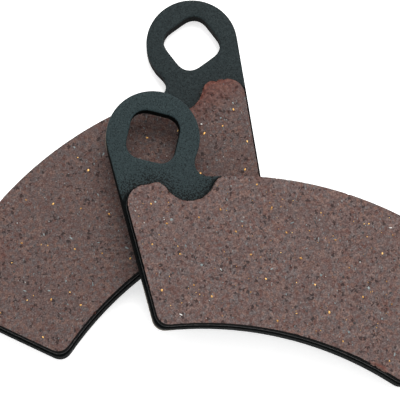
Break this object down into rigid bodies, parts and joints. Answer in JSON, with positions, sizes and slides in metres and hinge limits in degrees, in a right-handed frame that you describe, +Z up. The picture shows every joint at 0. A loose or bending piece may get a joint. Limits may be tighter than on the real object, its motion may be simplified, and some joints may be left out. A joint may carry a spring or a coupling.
{
  "type": "disc brake pad set",
  "caption": "Matching disc brake pads with coated steel backing plates, round ears with rounded square pin holes and speckled brown friction blocks, one leaning across the other.",
  "frame": {"origin": "centre of the pair's footprint on the table, at table height", "axes": "+Z up out of the table, +X along the pair's long way with the leaning pad to the right, -Y towards the viewer and towards the pads' inner edges"},
  "size_m": [0.165, 0.0998, 0.0192],
  "materials": {
    "powder_coat": "semi-gloss powder coat with a fine pebbled texture",
    "underlayer": "matt dark bonding compound",
    "friction_compound": "matt ground brown compound, pitted and crumbly at its edges",
    "brass": "ground metal chips",
    "graphite": "dark satin grains",
    "mineral": "pale matt flakes"
  },
  "bodies": {
    "lower_pad": {"lower_backing_plate": "powder_coat", "lower_underlayer": "underlayer", "lower_friction_block": "friction_compound", "lower_brass_chips": "brass", "lower_graphite_grains": "graphite", "lower_mineral_flakes": "mineral"},
    "upper_pad": {"upper_backing_plate": "powder_coat", "upper_underlayer": "underlayer", "upper_friction_block": "friction_compound", "upper_brass_chips": "brass", "upper_graphite_grains": "graphite", "upper_mineral_flakes": "mineral"}
  },
  "joints": [
    {"name": "upper_pad_lift", "type": "slide", "parent": "lower_pad", "child": "upper_pad", "axis": [0, 0, 1], "range_m": [0, 0.04]}
  ]
}
